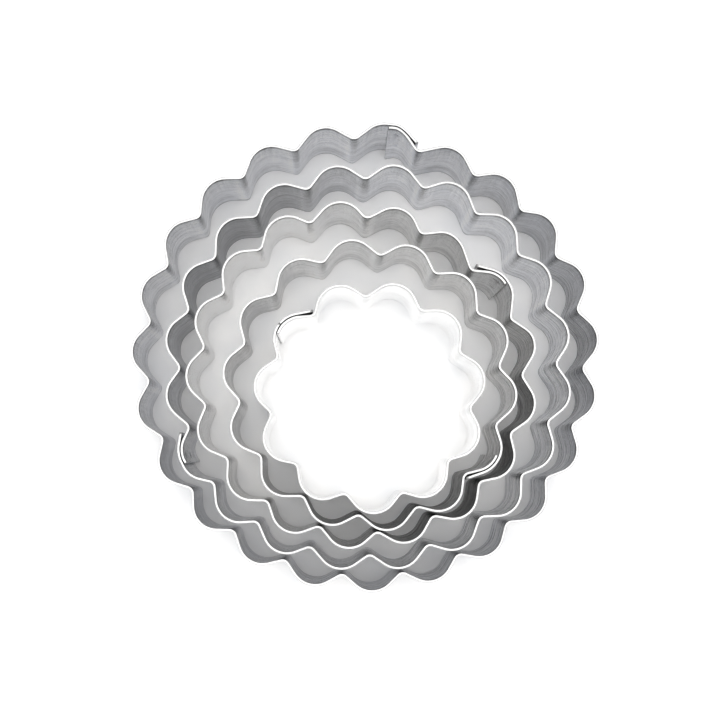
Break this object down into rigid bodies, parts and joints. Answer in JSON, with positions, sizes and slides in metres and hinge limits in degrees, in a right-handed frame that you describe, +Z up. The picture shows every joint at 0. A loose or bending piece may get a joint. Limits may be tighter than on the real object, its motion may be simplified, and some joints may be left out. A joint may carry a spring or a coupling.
{
  "type": "nested fluted round cutter set",
  "caption": "Nested set of fluted round pastry cutters: open rings of thin bright sheet, each closed by a spot-welded lap seam, standing loose one inside another.",
  "frame": {"origin": "centre of the largest cutter's outline, on the surface that all the cutters stand on", "axes": "+Z up, along the walls; +X and +Y across the nest, +Y being the side towards which the smaller cutters leave the wide gaps"},
  "size_m": [0.0912, 0.0918, 0.03],
  "materials": {
    "sheet": "bright rolled sheet with fine lines along the strip",
    "weld": "dull grey spot weld"
  },
  "bodies": {
    "largest": {"largest_cutter": "sheet", "largest_welds": "weld"},
    "large": {"large_cutter": "sheet", "large_welds": "weld"},
    "middle": {"middle_cutter": "sheet", "middle_welds": "weld"},
    "small": {"small_cutter": "sheet", "small_welds": "weld"},
    "smallest": {"smallest_cutter": "sheet", "smallest_welds": "weld"}
  },
  "joints": [
    {"name": "large_lift", "type": "slide", "parent": "largest", "child": "large", "axis": [0, 0, 1], "range_m": [0, 0.04]},
    {"name": "middle_lift", "type": "slide", "parent": "largest", "child": "middle", "axis": [0, 0, 1], "range_m": [0, 0.04]},
    {"name": "small_lift", "type": "slide", "parent": "largest", "child": "small", "axis": [0, 0, 1], "range_m": [0, 0.04]},
    {"name": "smallest_lift", "type": "slide", "parent": "largest", "child": "smallest", "axis": [0, 0, 1], "range_m": [0, 0.04]}
  ]
}
